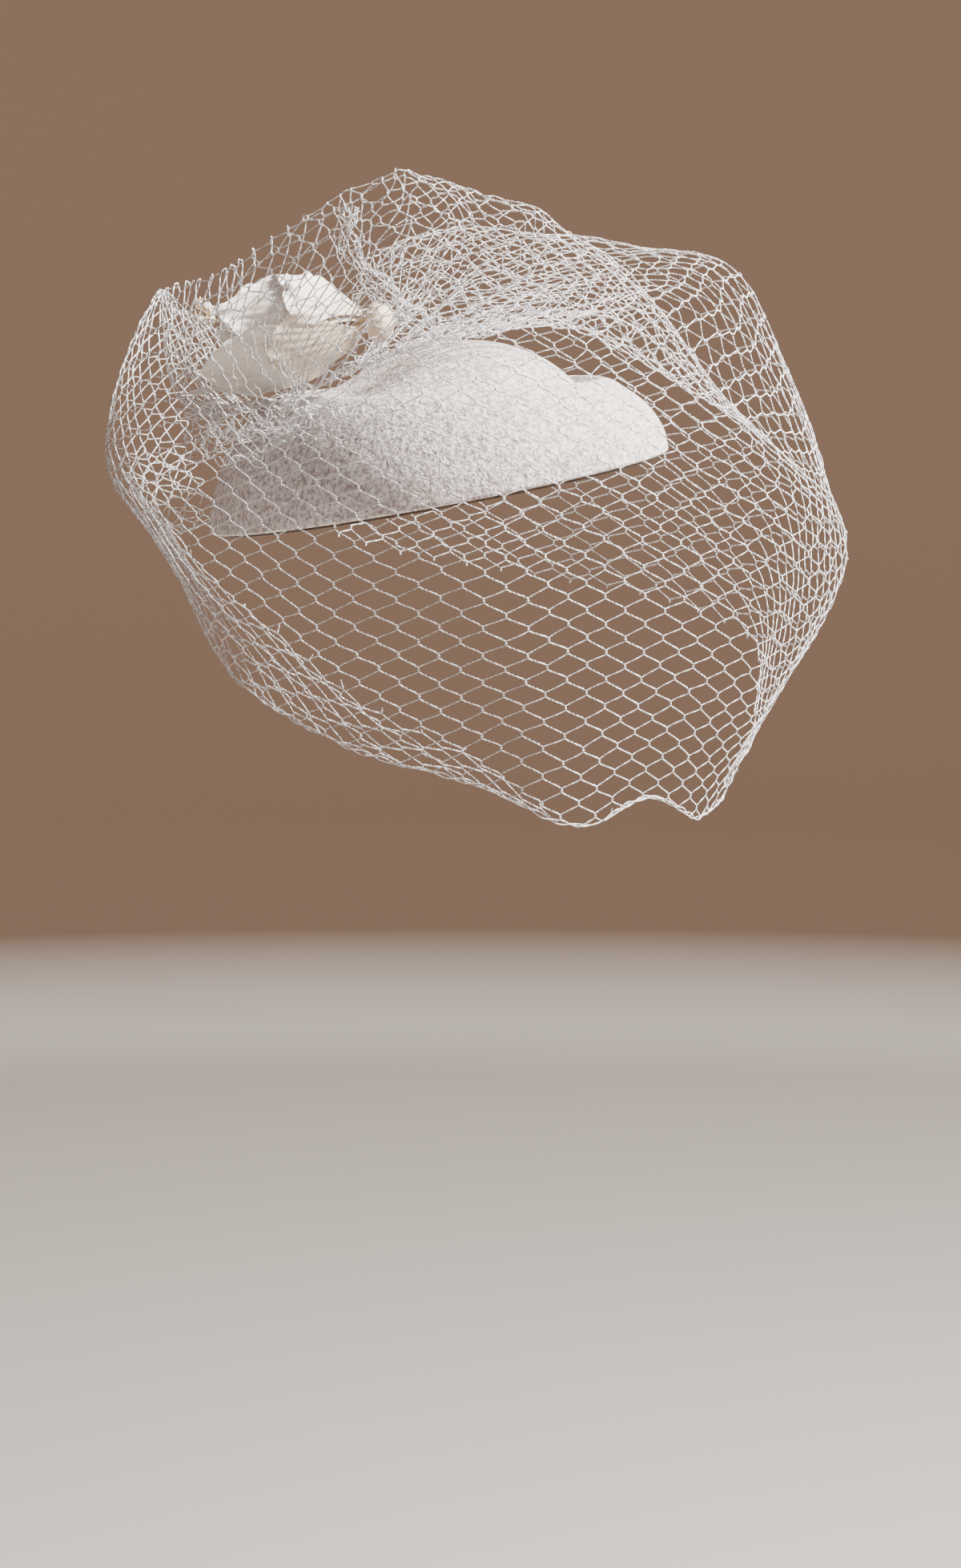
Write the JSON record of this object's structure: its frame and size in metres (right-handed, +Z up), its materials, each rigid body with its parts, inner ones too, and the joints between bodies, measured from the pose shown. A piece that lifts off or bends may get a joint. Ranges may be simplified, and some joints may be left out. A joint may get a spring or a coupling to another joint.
{
  "type": "fascinator",
  "caption": "Felt percher cocktail hat with a gathered birdcage veil over the face, a silk bloom with pearl stamens and a hair comb.",
  "frame": {"origin": "the head seat: where the top of the wearer's head meets the inside of the crown", "axes": "+Z up as worn, -Y the way the wearer faces, +X the wearer's left"},
  "size_m": [0.2402, 0.2185, 0.2082],
  "materials": {
    "wool_felt": "matt brushed wool felt",
    "binding": "matt brown band",
    "net_thread": "twisted ivory net thread",
    "silk_petal": "soft silk with a fine weave",
    "pearl": "pearl lustre",
    "comb_plastic": "clear-white comb"
  },
  "bodies": {
    "root": {"hat_body": "wool_felt", "rim_binding": "binding", "veil": "net_thread", "net_frill": "net_thread", "flower_foot": "silk_petal", "petal_outer_1": "silk_petal", "petal_outer_2": "silk_petal", "petal_outer_3": "silk_petal", "petal_outer_4": "silk_petal", "petal_outer_5": "silk_petal", "petal_inner_1": "silk_petal", "petal_inner_2": "silk_petal", "petal_inner_3": "silk_petal", "stamens": "pearl", "comb": "comb_plastic"}
  },
  "joints": []
}
